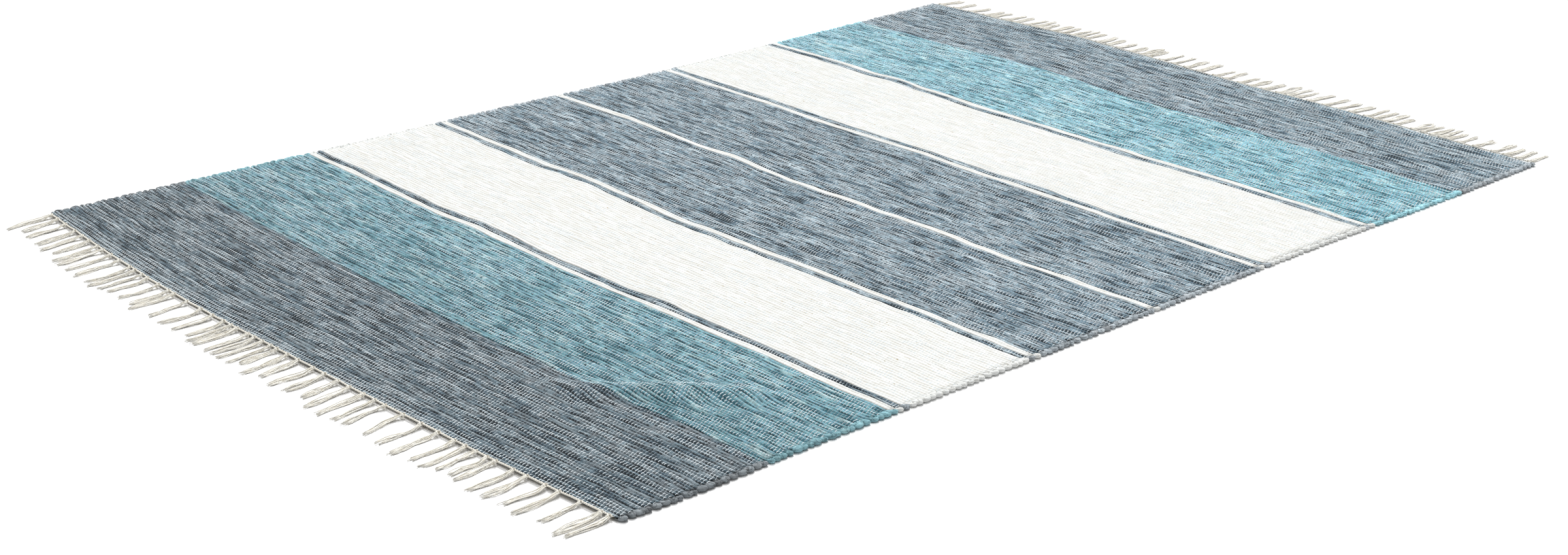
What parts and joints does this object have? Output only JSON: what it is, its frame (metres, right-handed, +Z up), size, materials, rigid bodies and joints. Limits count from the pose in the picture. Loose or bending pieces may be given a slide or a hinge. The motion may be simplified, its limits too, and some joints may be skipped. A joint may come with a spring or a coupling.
{
  "type": "flatweave cotton rug",
  "caption": "Flat striped cotton rag rug, woven in plain weave, with turned rag selvedges and knotted warp tassels at both ends.",
  "frame": {"origin": "middle of the woven cloth, on the surface it lies on", "axes": "+X along the weft, towards the selvedge that the picture shows on the right; +Y along the warp, from the near fringe to the far one; +Z up"},
  "size_m": [1.6406, 2.5634, 0.02],
  "materials": {
    "rag_weave": "matt plain weave of cotton rag weft in slate grey, soft teal and off-white stripes",
    "warp_yarn": "matt twisted unbleached cotton yarn"
  },
  "bodies": {
    "root": {"cloth": "rag_weave", "fringe_near": "warp_yarn", "fringe_far": "warp_yarn"}
  },
  "joints": []
}
